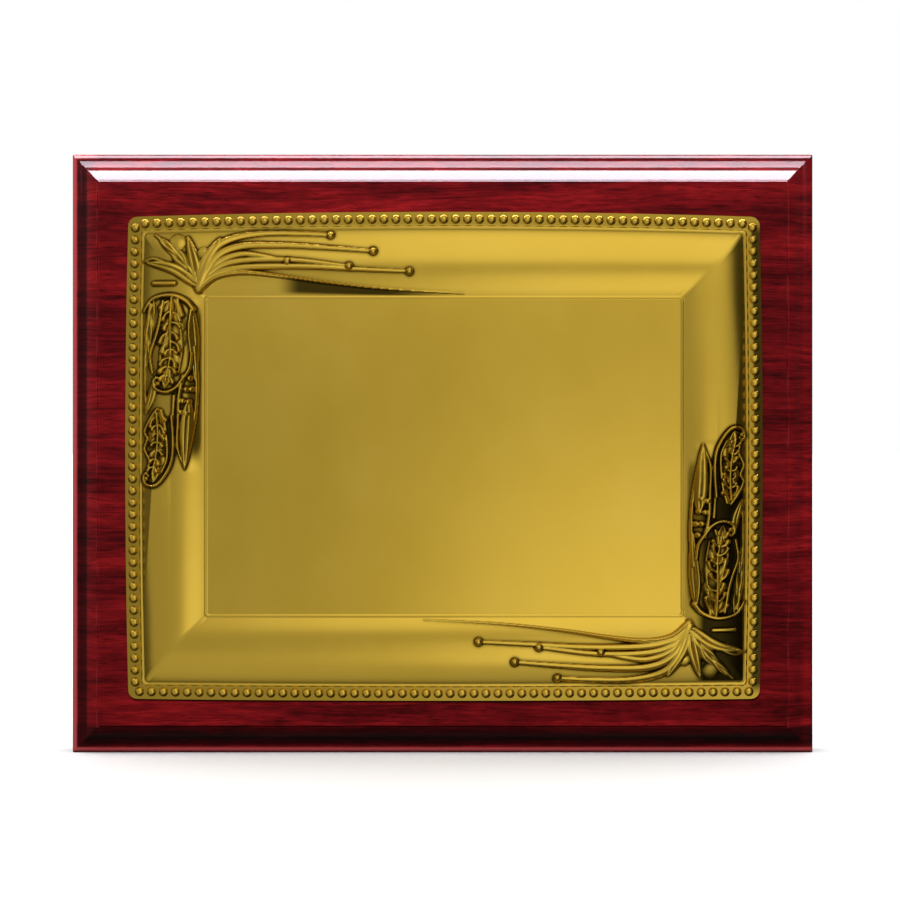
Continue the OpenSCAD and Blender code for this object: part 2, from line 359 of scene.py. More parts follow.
def lacquered_rosewood():
    """Rosewood under high-gloss lacquer, with painted shade and painted highlights along its
    moulding.
    """
    finish = Finish("lacquered_rosewood")
    colour, streaks = rosewood_grain(finish)
    x, y, z = finish.parts(finish.place)
    aside = finish.math("ABSOLUTE", x)
    up = finish.math("ABSOLUTE", finish.math("SUBTRACT", z, BOARD_H / 2 * MM))
    inwards = finish.math(
        "MINIMUM",
        finish.math("SUBTRACT", BOARD_W / 2 * MM, aside),
        finish.math("SUBTRACT", BOARD_H / 2 * MM, up),
    )
    on_left = finish.span_mm(x, -SIDES[1], -SIDES[0], 1.0, 0.0)
    on_right = finish.span_mm(x, *SIDES)
    in_front = finish.span_mm(y, -FRONT[1], -FRONT[0], 1.0, 0.0)
    on_edges = finish.math("SUBTRACT", 1.0, in_front)
    in_cove = finish.zone(inwards, COVE_START, COVE_END)

    # Painted shade: dark in the left cove and along the bottom moulding, and darker ends of the
    # field
    painted_wood_shade = finish.product(in_cove, on_left, 0.8)
    # Painted shade along the bottom moulding, which faces down
    low_shade = finish.zone(z, LOW_SHADE_START, LOW_SHADE_END, 0.74)
    painted_wood_shade = finish.product(finish.math("MAXIMUM", painted_wood_shade, low_shade), in_front)
    colour = finish.blend(painted_wood_shade, colour, (0.012, 0.0035, 0.0038))
    # Painted shade: the field darkens towards its left and right ends
    darker = finish.product(
        finish.span_mm(aside, *FIELD_ENDS, 0.0, 0.2),
        finish.span_mm(inwards, *FIELD_START),
        in_front,
    )
    colour = finish.blend(darker, colour, (0.02, 0.002, 0.003))

    # Painted highlights: pale lines on the left and lower lip and on the field's upright arrises
    lip = finish.product(finish.span_mm(inwards, *LIP_HIGHLIGHT_END, 0.9, 0.0), on_left)
    lip = finish.math("MAXIMUM", lip, finish.span_mm(z, *LOW_LIP_END, 0.8, 0.0))
    # Breaks the painted highlight on the arrises into patches
    highlight_patches = finish.noise(finish.scaled(900, 900, 160))
    arris = finish.product(
        finish.zone(inwards, ARRIS_START, ARRIS_END),
        finish.span(highlight_patches, 0.42, 0.62, 0.05, 0.5),
        finish.math("MAXIMUM", on_left, on_right),
    )
    lip_and_arris_highlight = finish.math("MAXIMUM", finish.product(lip, in_front), arris)
    colour = finish.blend(lip_and_arris_highlight, colour, (0.52, 0.075, 0.080))
    finish.set(Base_Color=colour, Roughness=0.55, IOR=1.5, Specular_IOR_Level=0.0)
    finish.bump(streaks, 0.05, 0.0002)

    # The clear coat is duller in the cove and on the lip, and satin on the board's edges.
    dull = finish.math(
        "MAXIMUM",
        finish.zone(inwards, COVE_START, DULL_COVE_END, 0.54),
        finish.span_mm(inwards, *DULL_LIP_END, 0.40, 0.0),
    )
    dull = finish.math("MAXIMUM", dull, finish.math("MULTIPLY", on_edges, 0.92))
    rough = finish.math("MULTIPLY_ADD", in_cove, 0.09, 0.035)
    rough = finish.math("MULTIPLY_ADD", on_edges, 0.3, rough)
    finish.set(Coat_Weight=finish.math("SUBTRACT", 1.0, dull), Coat_IOR=1.5, Coat_Roughness=rough)
    peel = finish.noise(finish.scaled(420, 420, 420), 1.0)
    finish.bump(peel, 0.03, 0.0002, "Coat_Normal")
    return finish.material


def stamped_gold():
    """Satin gold-coloured stamped sheet with a thin clear lacquer, darkened by the painted shade
    stored on each piece.
    """
    finish = Finish("stamped_gold")
    cloud = finish.noise(finish.scaled(26, 26, 20), 4.0, 0.6)
    grit = finish.noise(finish.scaled(1600, 1600, 1600), 2.0, 0.5)
    colour = finish.ramp(cloud, [
        (0.30, (0.700, 0.455, 0.046)),
        (0.55, (0.735, 0.482, 0.054)),
        (0.75, (0.760, 0.508, 0.068)),
    ])
    # Painted shade stored on the sheet and the beads darkens the gold and roughens it
    painted_shade = finish.add("ShaderNodeAttribute", out="Fac", attribute_name="painted_shade")
    colour = finish.blend(painted_shade, colour, (0.012, 0.008, 0.002))
    rough = finish.math("MULTIPLY_ADD", cloud, 0.06, 0.26)
    rough = finish.math("MULTIPLY_ADD", painted_shade, 0.15, rough)
    finish.set(Base_Color=colour, Metallic=1.0, Roughness=rough)
    finish.set(Coat_Weight=finish.math("MULTIPLY_ADD", painted_shade, -0.15, 0.15))
    finish.set(Coat_Roughness=0.12, Coat_IOR=1.5)
    finish.bump(grit, 0.05, 0.00003)
    return finish.material


def zinc_plate(name, roughness, tint):
    """Zinc-plated steel, faintly brushed along Z, with a cloudy passivated film."""
    finish = Finish(name)
    cloud = finish.noise(finish.scaled(120, 120, 120), 4.0, 0.65)
    brush = finish.noise(finish.scaled(1800, 900, 90), 3.0, 0.6)
    darker = tuple(0.78 * c for c in tint)
    finish.set(Base_Color=finish.ramp(cloud, [(0.35, darker), (0.65, tint)]), Metallic=1.0)
    finish.set(Roughness=finish.math("MULTIPLY_ADD", brush, 0.16, roughness))
    finish.bump(brush, 0.12, 0.00005)
    return finish.material


def flocked_sheet():
    """Black flock: a dense short pile with a soft sheen and a faint nap."""
    finish = Finish("flocked_sheet")
    pile = finish.noise(finish.scaled(2600, 2600, 2600), 2.0, 0.7)
    nap = finish.noise(finish.scaled(22, 22, 30), 4.0, 0.6)
    tone = finish.math("MULTIPLY_ADD", nap, 0.45, finish.math("MULTIPLY", pile, 0.55))
    finish.set(Base_Color=finish.ramp(tone, [
        (0.30, (0.006, 0.006, 0.007)), (0.70, (0.030, 0.029, 0.031)),
    ]))
    finish.set(Roughness=0.95, Sheen_Weight=0.35, Sheen_Roughness=0.45)
    finish.set(Specular_IOR_Level=0.1)
    finish.bump(pile, 0.5, 0.0003)
    return finish.material


def black_rubber():
    """Matt moulded rubber with a fine texture and dusty bloom."""
    finish = Finish("black_rubber")
    grain = finish.noise(finish.scaled(2200, 2200, 2200), 3.0, 0.6)
    bloom = finish.noise(finish.scaled(170, 170, 170), 3.0, 0.6)
    finish.set(Base_Color=finish.ramp(bloom, [
        (0.35, (0.010, 0.010, 0.011)), (0.75, (0.034, 0.033, 0.033)),
    ]))
    finish.set(Roughness=finish.span(bloom, 0.3, 0.7, 0.48, 0.68))
    finish.bump(grain, 0.18, 0.0001)
    return finish.material


def leather_grain_paper():
    """Black embossed paper over hardboard: pebbled cells with shallow creases between them."""
    finish = Finish("leather_grain_paper")
    warp = finish.noise(finish.scaled(500, 500, 500), 2.0)
    place = finish.add("ShaderNodeVectorMath", [
        finish.scaled(1700, 1700, 1300), finish.add("ShaderNodeCombineXYZ", [warp, warp, warp])
    ], operation="ADD")
    cells = finish.add("ShaderNodeTexVoronoi", {"Vector": place, "Scale": 1.0}, out="Distance")
    pebble = finish.span(cells, 0.1, 0.75, 1.0, 0.0)
    finish.set(Base_Color=finish.ramp(pebble, [
        (0.1, (0.010, 0.010, 0.010)), (0.8, (0.020, 0.0195, 0.019)),
    ]))
    finish.set(Roughness=finish.span(pebble, 0.0, 1.0, 0.62, 0.40))
    finish.bump(pebble, 0.45, 0.00025)
    return finish.material


def white_foam(name, tint):
    """Closed-cell foam with a faintly pitted surface."""
    finish = Finish(name)
    cells = finish.add(
        "ShaderNodeTexVoronoi", {"Vector": finish.place, "Scale": 1500.0}, out="Distance"
    )
    darker = tuple(0.86 * c for c in tint)
    finish.set(Base_Color=finish.ramp(cells, [(0.2, darker), (0.6, tint)]), Roughness=0.8)
    finish.bump(cells, 0.3, 0.0002)
    return finish.material


def pale_floor():
    """A white sweep with a hardly visible drift of tone."""
    finish = Finish("pale_floor")
    drift = finish.noise(finish.scaled(3, 3, 3), 2.0)
    finish.set(Base_Color=finish.ramp(drift, [(0.3, (0.86,) * 3), (0.7, (0.88,) * 3)]))
    finish.set(Roughness=0.9, Specular_IOR_Level=0.1)
    return finish.material


# ---------------------------------------------------------------- board


def board_section():
    """The board's edge from back to field, as (distance in from the edge, height)."""
    steep, flat = math.radians(CURVE_ANGLE), math.radians(CROWN_ANGLE)
    cove_r = COVE_W / math.sin(steep)
    ovolo_r = OVOLO_W / (math.sin(steep) - math.sin(flat))
    crown = BOARD_T - QUIRK_H / 2
    middle = crown - ovolo_r * (math.cos(flat) - math.cos(steep))
    lip = middle - cove_r * (1 - math.cos(steep))
    crown_d = LIP_W + COVE_W + OVOLO_W
    centre = (crown_d + ovolo_r * math.sin(flat), crown - ovolo_r * math.cos(flat))
    field_d = crown_d + QUIRK_W
    step_r = ARRIS_R / 2
    return (
        arc((ARRIS_R, ARRIS_R), ARRIS_R, -90, -180, 4)
        + arc((LIP_R, lip - LIP_R), LIP_R, 180, 90, 8)
        + arc((LIP_W, lip + cove_r), cove_r, -90, CURVE_ANGLE - 90, 12)
        + arc(centre, ovolo_r, 90 + CURVE_ANGLE, 90 + CROWN_ANGLE, 14)
        + [(crown_d + 0.1, BOARD_T - QUIRK_H), (field_d, BOARD_T - QUIRK_H + 0.1)]
        + arc((field_d + step_r, BOARD_T - step_r), step_r, 180, 90, 4)
    )


def keyhole_outline(radius, rise, steps=20):
    """An upright slot with round ends as (x, z), its lower centre at the origin."""
    return arc((0, rise), radius, 0, 180, steps) + arc((0, 0), radius, 180, 360, steps)


def cutter(name, outline, x, z, depth):
    """An outline in the XZ plane drawn out from inside the board to past its back."""
    loops = [[(x + px, y, z + pz) for px, pz in outline] for y in (-depth, 1)]
    obj = loft(name, loops, None)
    face_outwards(obj)
    return obj


def make_board():
    """The board with its moulding, the let-in beds of the hanging plates and their pockets."""
    loops = [
        [
            (x, -height, BOARD_H / 2 + z)
            for x, z in rounded_box(BOARD_W - 2 * inset, BOARD_H - 2 * inset, MITRE_R, 3)
        ]
        for inset, height in board_section()
    ]
    board = loft("moulded_board", loops, SHARP_FROM)
    face_outwards(board)
    bed = rounded_box(LET_IN_W, LET_IN_H, 2, 5)
    keyhole = keyhole_outline(POCKET_R, KEYHOLE_RISE)
    cutters = []
    for x in (-HANGER_X, HANGER_X):
        cutters.append(cutter("let_in", bed, x, HANGER_Z, LET_IN_T))
        cutters.append(cutter("pocket", keyhole, x, KEYHOLE_Z, POCKET_T))
    for tool in cutters:
        cut = board.modifiers.new("cut", "BOOLEAN")
        cut.object = tool
        cut.solver = "EXACT"
    apply_modifiers(board)
    board.data.shade_smooth()
    board.data.set_sharp_from_angle(angle=math.radians(SHARP_FROM))
    for tool in cutters:
        bpy.data.objects.remove(tool)
    return board


# ---------------------------------------------------------------- sprays


# The lower right spray, measured from the plate's centre; its stems meet at GATHER.
GATHER = (85.3, -59.1)
# Each stroke is (points, radius at its start, radius at its end, rise).
STEMS = [
    ([GATHER, (80, -63.3), (70, -65.8), (50, -66.2), (30, -65.2), (12, -64.4)], 1.5, 0.65, 1.5),
    ([GATHER, (79.4, -65.4), (70, -68.2), (52, -68.4), (33, -66.2)], 1.5, 0.7, 1.5),
    ([GATHER, (79, -67.2), (71, -70.4), (63, -69.8), (54.5, -68)], 1.4, 0.7, 1.4),
    ([GATHER, (79.6, -69), (71, -73.2), (56, -73.6), (40, -72.7), (24.6, -71.5)], 1.7, 0.7, 1.6),
    ([GATHER, (80.6, -70.6), (75, -75.6), (64, -77.9), (50, -77.9), (39.5, -77.3)], 1.8, 0.8, 1.7),
]
BUD_R = 1.45
BLADE = [(-7, -56.8), (20, -58.3), (42, -60.6), (58, -62.9), (70, -64), (79, -62.6), (85.3, -58)]

LEAVES = [
    # Narrow pointed leaf and the long edge below it
    ([(90.1, 4.5), (88.0, -4), (86.3, -15), (85.8, -26), (86.4, -38)], 0.35, 0.7, 1.0),
    ([(90.1, 4.5), (92.4, -3), (92.2, -12), (91.8, -21), (90.4, -27.8)], 0.35, 0.8, 1.2),
    ([(91.6, 0.5), (93.6, -6), (94.0, -14), (93.6, -21)], 0.3, 0.7, 0.9),
    # Upper curled leaf
    ([(94.4, -14), (93.9, -6), (94.5, 1.1), (97.1, 6.7), (100.2, 9.9), (103.3, 9.8),
      (104.8, 7.8), (104.0, 5.9), (102.8, 6.6)], 0.6, 0.55, 1.4),
    ([(98.3, -16), (96.5, -9), (96.2, 0.2), (98.2, 5.4)], 0.7, 0.4, 1.1),
    ([(99.6, -16.5), (101.8, -13.7), (104.2, -8.9), (103.2, -6.2), (104.3, -2.7),
      (102.6, 1.1), (103.0, 4.2)], 0.5, 0.45, 1.1),
    # Thin leaf between the two curled ones
    ([(103.8, -15.4), (101.6, -20), (100.4, -25)], 0.35, 0.7, 1.0),
    ([(103.8, -15.4), (104.2, -25), (104.2, -34.6), (103.6, -44), (102.2, -53)], 0.4, 0.6, 0.9),
    # Second curled leaf
    ([(87.4, -35.7), (88.2, -30.6), (90.6, -26.8), (93.2, -23.7), (96.7, -22.4),
      (100.2, -23.6), (101.0, -26.0), (99.6, -27.4), (98.2, -26.4)], 0.6, 0.6, 1.4),
    ([(101.4, -29), (102.3, -35.3), (100.2, -41.4), (98.8, -46.4), (97.6, -54)], 0.5, 0.7, 1.2),
    ([(86.7, -30.6), (87.6, -36), (88.3, -43.6), (87.6, -51.5)], 0.5, 0.7, 1.1),
    ([(97.0, -28), (98.6, -34), (96.6, -41), (94.6, -48), (94.4, -55)], 0.4, 0.7, 1.0),
    ([(92.0, -29), (90.8, -37), (91.4, -46), (92.6, -55)], 0.4, 0.7, 0.9),
    # Bract below them, its short bar, and the fan in the corner
    ([(86.9, -51.2), (89.6, -54.2), (93.9, -56.0), (98.6, -55.8), (102.2, -54.2),
      (104.7, -50.4)], 0.9, 0.5, 1.6),
    ([(93.5, -60.3), (101.1, -60.2)], 0.8, 0.8, 1.0),
    ([(85.9, -60.6), (90, -64.2), (96.1, -66.9), (101.1, -68.8), (104.7, -67.9)], 0.9, 0.5, 1.1),
    ([(86.2, -61.6), (88.4, -65.2), (91.9, -69.6), (96.1, -73.5), (100.6, -77.2)], 0.9, 0.5, 1.1),
    ([(85.3, -62), (85.9, -67), (87.0, -71.6), (89.6, -76.2)], 0.9, 0.5, 1.1),
    ([(84.6, -61.5), (82.8, -66.8), (80.4, -71.6), (77.4, -75.8)], 1.0, 0.5, 1.1),
]
# Leaf bodies are (midrib, half width, rise, lobes along each side).
BODIES = [
    ([(88.6, -19), (89.3, -8), (90.1, 4.5)], 2.4, 1.5, 0),
    ([(99.4, -17), (99.8, -8), (99.4, 1), (101.2, 9)], 3.4, 1.1, 4),
    ([(94.2, -56), (94.0, -45), (94.6, -35), (97.2, -23.4)], 4.8, 1.2, 5),
    ([(100.2, -27), (101.8, -20.5), (103.9, -14.8)], 1.5, 1.3, 0),
    ([(100.8, -54.5), (102.8, -44), (103.7, -31)], 1.8, 1.3, 3),
    ([(87.6, -52), (86.6, -39), (86.4, -26)], 1.6, 1.2, 0),
    ([(85.6, -59.4), (93.6, -65.2), (103.8, -67.6)], 2.1, 1.5, 0),
    ([(85.6, -59.8), (91.2, -68.4), (99.6, -76.6)], 2.7, 1.7, 3),
    ([(85.3, -60.2), (86.9, -68.4), (89.2, -77)], 2.3, 1.6, 0),
    ([(85.0, -60.2), (82.6, -67.6), (77.6, -76.6)], 2.5, 1.6, 0),
]
BERRIES = [
    (89.2, -14.8), (91.3, -15.4), (88.4, -19), (90.5, -19.3), (87.4, -23.4), (89.3, -23.3),
    (88.0, -27.2),
]
# Domes are (centre, radius, rise): the berries, three lobes, and the eyes of the curled leaves.
DOMES = [(place, 1.15, 1.8) for place in BERRIES] + [
    ((83.5, -70.6), 2.3, 0.9), ((92.6, -74.6), 3.0, 0.9), ((88.5, -67.5), 1.3, 0.8),
    ((103.6, 7.7), 0.9, 2.2), ((99.3, -25.3), 0.9, 2.2),
]
# Leaflets are (midrib, how many on each side, length, radius).
LEAFLETS = [
    ([(99.8, -15), (99.4, -8), (100.0, -1), (101.6, 6)], 7, 3.8, 0.75),
    ([(94.6, -55), (94.9, -44), (94.9, -35), (96.8, -26)], 9, 5.0, 0.85),
]


def spline(points, steps=8):
    """A smooth path through the points."""
    given = np.array(points, float)
    padded = np.vstack([2 * given[0] - given[1], given, 2 * given[-1] - given[-2]])
    path = []
    for i in range(1, len(padded) - 2):
        a, b, c, d = padded[i - 1:i + 3]
        for t in np.linspace(0, 1, steps, endpoint=False):
            path.append(0.5 * (
                2 * b + (c - a) * t + (2 * a - 5 * b + 4 * c - d) * t**2
                + (3 * b - a - 3 * c + d) * t**3
            ))
    path.append(given[-1])
    return np.array(path)


def press_stroke(relief, u, v, points, r_start, r_end, rise, steps=8):
    """Raises a half-round ridge along a path."""
    path = spline(points, steps) if len(points) > 2 else np.array(points, float)
    radii = np.linspace(r_start, r_end, len(path))
    for i in range(len(path) - 1):
        a, b, reach = path[i], path[i + 1], max(radii[i], radii[i + 1])
        low, high = np.minimum(a, b) - reach, np.maximum(a, b) + reach
        near = np.flatnonzero((u > low[0]) & (u < high[0]) & (v > low[1]) & (v < high[1]))
        if not len(near):
            continue
        along = b - a
        t = ((u[near] - a[0]) * along[0] + (v[near] - a[1]) * along[1]) / max(along @ along, 1e-9)
        t = np.clip(t, 0, 1)
        away = np.hypot(u[near] - a[0] - t * along[0], v[near] - a[1] - t * along[1])
        radius = radii[i] + (radii[i + 1] - radii[i]) * t
        ridge = rise * radius / max(r_start, r_end) * np.sqrt(
            np.clip(1 - (away / radius) ** 2, 0, 1)
        )
        relief[near] = np.maximum(relief[near], ridge)


def press_leaf(relief, u, v, midrib, width, rise, lobes):
    """Raises a pointed leaf with a sunk midrib, and lobes and slanting veins where it has them."""
    path = spline(midrib, 24)
    low, high = path.min(0) - width, path.max(0) + width
    near = np.flatnonzero((u > low[0]) & (u < high[0]) & (v > low[1]) & (v < high[1]))
    if not len(near):
        return
    from_path = np.hypot(u[near, None] - path[:, 0], v[near, None] - path[:, 1])
    place = from_path.argmin(1)
    away = from_path[np.arange(len(near)), place]
    t = place / (len(path) - 1)
    half = width * np.clip(np.sin(np.pi * np.clip(t, 0, 1) ** 0.75), 0, 1) ** 0.6
    scallop = 0.74 + 0.26 * np.abs(np.sin(np.pi * lobes * t)) if lobes else 1.0
    across = away / np.maximum(half * scallop, 0.05)
    body = np.sqrt(np.clip(1 - across**2, 0, 1)) * (1 - 0.5 * np.exp(-((across / 0.2) ** 2)))
    if lobes:
        body = body * (0.72 + 0.28 * np.cos(2 * np.pi * (lobes * t - 0.9 * across)))
    relief[near] = np.maximum(relief[near], rise * body)


def press_dome(relief, u, v, centre, radius, rise):
    away = np.hypot(u - centre[0], v - centre[1]) / radius
    near = away < 1
    relief[near] = np.maximum(relief[near], rise * np.sqrt(1 - away[near] ** 2))


def press_leaflets(relief, u, v, midrib, count, length, radius, chance):
    """Raises uneven leaflets that slant forwards off a midrib."""
    path = spline(midrib, 12)
    press_stroke(relief, u, v, midrib, 0.8 * radius, 0.5 * radius, 1.9)
    for i in range(count):
        at = int((i + 0.5) / count * (len(path) - 2))
        along = path[at + 1] - path[at]
        along /= np.hypot(*along)
        across = np.array([-along[1], along[0]])
        for side in (-1, 1):
            reach = length * (1 - 0.4 * i / count) * chance.uniform(0.6, 1.15)
            lean = chance.uniform(0.35, 0.95)
            start = path[at] + reach * chance.uniform(0.0, 0.3) * side * across
            bend = path[at] + reach * (0.4 * lean * along + 0.55 * side * across)
            tip = path[at] + reach * (lean * along + 0.75 * side * across)
            press_stroke(
                relief, u, v, [tuple(start), tuple(bend), tuple(tip)],
                0.5 * radius, radius * chance.uniform(0.8, 1.4), chance.uniform(1.7, 2.7), 4
            )


def spray_relief(u, v):
    """Height of the lower right spray's strokes and leaves above the ground they stand on."""
    relief = np.zeros_like(u)
    for points, r_start, r_end, rise in STEMS:
        press_stroke(relief, u, v, points, r_start, r_end, rise)
        press_dome(relief, u, v, points[-1], BUD_R, 1.9)
    press_stroke(relief, u, v, BLADE, 0.2, 1.3, 1.5)
    for body in BODIES:
        press_leaf(relief, u, v, *body)
    for points, r_start, r_end, rise in LEAVES:
        press_stroke(relief, u, v, points, 1.05 * r_start, 1.05 * r_end, 1.4 * rise)
    chance = np.random.default_rng(7)
    for rib in LEAFLETS:
        press_leaflets(relief, u, v, *rib, chance)
    for dome in DOMES:
        press_dome(relief, u, v, *dome)
    return relief


def fade(value, start, end):
    """Rises smoothly from 0 at start to 1 at end, which may be the lower of the two."""
    share = np.clip((value - start) / (end - start), 0, 1)
    return share * share * (3 - 2 * share)


def blade_face(u, v):
    """How far a place lies from the panel's edge to the blade's, 0 to 1, and 0 outside."""
    path = spline(BLADE)
    lower = np.interp(u, path[:, 0], path[:, 1])
    edge = LEVEL_PANEL_D - PLATE_H / 2
    share = (edge - v) / np.maximum(edge - lower, 0.3)
    return np.where((share > 0) & (share <= 1), share, 0)


def spray_bed(u, v):
    """The raised ground under the leaves, the long crease above them and the blade's face."""
    rim_u = PLATE_W / 2 - FLANGE_W
    ground = fade(u, 84, 90) * np.clip((rim_u - u) / (rim_u - 92), 0, 1)
    ground = 2.6 * ground * fade(v, -55, -47) * fade(v, 6, -8)
    # The crease leans outwards as it climbs.
    crease_u = 101.5 + 3.6 * (v - 9.5) / 45.7
    inner = np.clip((u - 95) / np.maximum(crease_u - 95, 1), 0, 1)
    outer = np.clip((rim_u - u) / np.maximum(rim_u - crease_u, 0.2), 0, 1)
    wedge = 1.1 * np.minimum(inner, outer)
    wedge = wedge * fade(v, -2, 10) * np.clip((57 - v) / 47, 0, 1)
    face = 0.55 * blade_face(u, v) * fade(u, -7, 33) * fade(u, 86, 83)
    return np.where(v < 0, np.maximum(ground, face), np.maximum(ground, wedge))


def spray_painted_shade(u, v, relief):
    """How much painted shade lies on the sunk ground between the leaves, from 0 to 1."""
    rim_u = PLATE_W / 2 - FLANGE_W - 0.4
    rim_v = FLANGE_W + 0.4 - PLATE_H / 2
    ground = fade(u, 86.5, 90.5) * fade(u, rim_u, rim_u - 1.2)
    ground = ground * fade(v, 5, -5) * fade(v, rim_v, rim_v + 1.2)
    return ground * (1 - fade(relief, 0.25, 1.35))


def blade_shadow(u, v):
    """The dark sliver between the panel and the thin end of the blade."""
    return fade(blade_face(u, v), 0, 0.3) * fade(u, 59, 50) * fade(u, -9, 21)


def both_sprays(u, v):
    """Height, relief, painted shade and blade faces of the spray and its half-turned twin."""
    flat_u, flat_v = u.ravel(), v.ravel()
    height, ridges, painted_shade, faces = (np.zeros_like(flat_u) for _ in range(4))
    for side, depth in ((1, GROUND_LOW), (-1, GROUND_HIGH)):
        a, b = side * flat_u, side * flat_v
        here = (a > -12) & (b < 60)
        a, b = a[here], b[here]
        relief = spray_relief(a, b)
        ridges[here] = np.maximum(ridges[here], relief)
        height[here] = np.maximum(height[here], relief + spray_bed(a, b))
        dark = depth * spray_painted_shade(a, b, relief)
        if side < 0:
            dark = np.maximum(dark, SHADOW_HIGH * blade_shadow(a, b))
        painted_shade[here] = np.maximum(painted_shade[here], dark)
        faces[here] = np.maximum(faces[here], (blade_face(a, b) > 0) & (a < 84))
    return [grid.reshape(u.shape) for grid in (height, ridges, painted_shade, faces)]


def softened(grid, reach=2, passes=3):
    """The grid averaged over its neighbours, several times over."""
    for axis in (0, 1):
        for _ in range(passes):
            shifted = [np.roll(grid, k, axis) for k in range(-reach, reach + 1)]
            grid = sum(shifted) / len(shifted)
    return grid


def plate_painted_shade(u, v, ridges, ground, faces):
    """Painted shade in creases, on the sunk ground, on the bead band, darkest at the right, and in
    the groove inside the rim.
    """
    # Painted shade in the creases beside the ridges
    crease = np.clip((softened(ridges) - ridges) / 0.38, 0, 1)
    crease = crease * np.where(u > 0, CREASE_LOW, CREASE_HIGH) * (1 - faces)
    half_w, half_h = PLATE_W / 2, PLATE_H / 2
    inwards = edge_distance(u, v)
    on_right = fade(u, half_w - 6, half_w - 4.5) * fade(inwards, 3.4, 2.6)
    on_right = on_right * fade(np.abs(v), half_h - 1, half_h - 6)
    # Painted shade between the beads, darkest at the right
    band = fade(inwards, 4.9, 4.3) * (0.36 + 0.56 * on_right)
    # Painted shade in the groove inside the rim line
    groove = 0.6 * np.exp(-(((inwards - FLANGE_W - 0.4) / 0.3) ** 2))
    return np.maximum.reduce([crease, ground, band, groove])


# ---------------------------------------------------------------- award plate


def edge_distance(u, v):
    """Distance in from the plate's edge, by the depths of its sides, with rounded mitres."""
    blend = 2.2
    a, b = PLATE_W / 2 - np.abs(u), PLATE_H / 2 - np.abs(v)
    level = [FLANGE_W, LEVEL_CREST_D, LEVEL_PANEL_D]
    b = b - np.interp(b, level, [0, LEVEL_CREST_D - CREST_D, LEVEL_PANEL_D - PANEL_D])
    share = np.clip(0.5 + 0.5 * (b - a) / blend, 0, 1)
    return b + (a - b) * share - blend * share * (1 - share) * 0.6


def frame_height(d):
    """Section of the plain frame: flange, rim line, raised barrel, panel line."""
    rise = CREST_RISE - FLANGE_RISE
    outer_r = ((CREST_D - FLANGE_W) ** 2 + rise**2) / (2 * rise)
    fall = CREST_RISE - PANEL_RISE
    inner_r = ((PANEL_D - CREST_D) ** 2 + fall**2) / (2 * fall)
    off = np.clip(d, FLANGE_W, PANEL_D) - CREST_D
    radius = np.where(off < 0, outer_r, inner_r)
    height = CREST_RISE - radius + np.sqrt(radius**2 - off**2)

    def ridge(middle, width, rise):
        return rise * np.sqrt(np.clip(1 - ((d - middle) / (width / 2)) ** 2, 0, 1))

    rim = ridge(FLANGE_W - 0.35, RIM_W, RIM_RISE)
    return height + rim + ridge(PANEL_D + LINE_W / 2, LINE_W, LINE_RISE)


def bow(u, v):
    """A place on the plate after its outline is bowed and its corners are rounded."""
    half_w, half_h = PLATE_W / 2, PLATE_H / 2
    a, b = half_w - np.abs(u), half_h - np.abs(v)
    along_u, along_v = (u / half_w) ** 2, (v / half_h) ** 2
    out_u = 0.2 - 1.1 * along_v
    out_v = np.where(v > 0, 0.4 - 1.8 * along_u, 0.2 - 0.7 * along_u)
    x = u + np.sign(u) * out_u * (1 - fade(a, 5, 27))
    z = v + np.sign(v) * out_v * (1 - fade(b, 5, 27))
    p = PLATE_CORNER_R - a
    q = PLATE_CORNER_R - b
    corner = (p > 0) & (q > 0)
    pull = np.where(corner, np.maximum(p, q) / np.maximum(np.hypot(p, q), 1e-9), 1)
    x = x - np.sign(u) * np.where(corner, p * (1 - pull), 0)
    z = z - np.sign(v) * np.where(corner, q * (1 - pull), 0)
    return x, z


def plate_points(u, v, with_sprays):
    """Places of the sheet's front in the shared frame, and how much painted shade each one has."""
    height = frame_height(edge_distance(u, v))
    x, z = bow(u, v)
    painted_shade = np.zeros_like(height)
    if with_sprays:
        raised, ridges, ground, faces = both_sprays(x, z)
        height = height + raised
        painted_shade = plate_painted_shade(u, v, ridges, ground, faces)
    return np.stack([PLATE_X + x, -(BOARD_T + height), PLATE_Z + z], -1), painted_shade


def band_lines(edges, sizes):
    """Grid lines through the edges, each gap divided by its own step size."""
    lines = [edges[0]]
    for low, high, size in zip(edges, edges[1:], sizes):
        lines += list(np.linspace(low, high, max(1, round((high - low) / size)) + 1))[1:]
    return np.array(lines)


def sheet_front(u_lines, v_lines):
    """Places, normals and painted shade on a piece's front, worked out with a margin around it."""
    def widened(lines):
        steps = FINE * np.arange(1, MARGIN + 1)
        return np.concatenate([lines[0] - steps[::-1], lines, lines[-1] + steps])

    wide_u, wide_v = np.meshgrid(widened(u_lines), widened(v_lines), indexing="ij")
    wide, dark = plate_points(wide_u, wide_v, True)
    inner = slice(MARGIN, -MARGIN)
    before, after = slice(MARGIN - 1, -MARGIN - 1), slice(MARGIN + 1, 1 - MARGIN)
    slope_u = wide[after, inner] - wide[before, inner]
    slope_v = wide[inner, after] - wide[inner, before]
    normals = np.cross(slope_u, slope_v)
    normals /= np.linalg.norm(normals, axis=-1, keepdims=True)
    return wide[inner, inner], normals, dark[inner, inner]


def quads(grid):
    """Four-cornered faces over a grid of vertex numbers, facing the viewer."""
    corners = [grid[:-1, :-1], grid[1:, :-1], grid[1:, 1:], grid[:-1, 1:]]
    return np.stack(corners, -1).reshape(-1, 4).tolist()


def wall(fine, coarse, places, turned):
    """Faces between one edge of the fine front and the same edge of the plainer back."""
    faces = []
    for k in range(len(places) - 1):
        top = [int(n) for n in fine[places[k]:places[k + 1] + 1]]
        face = top + [int(coarse[k + 1]), int(coarse[k])]
        faces.append(face[::-1] if turned else face)
    return faces


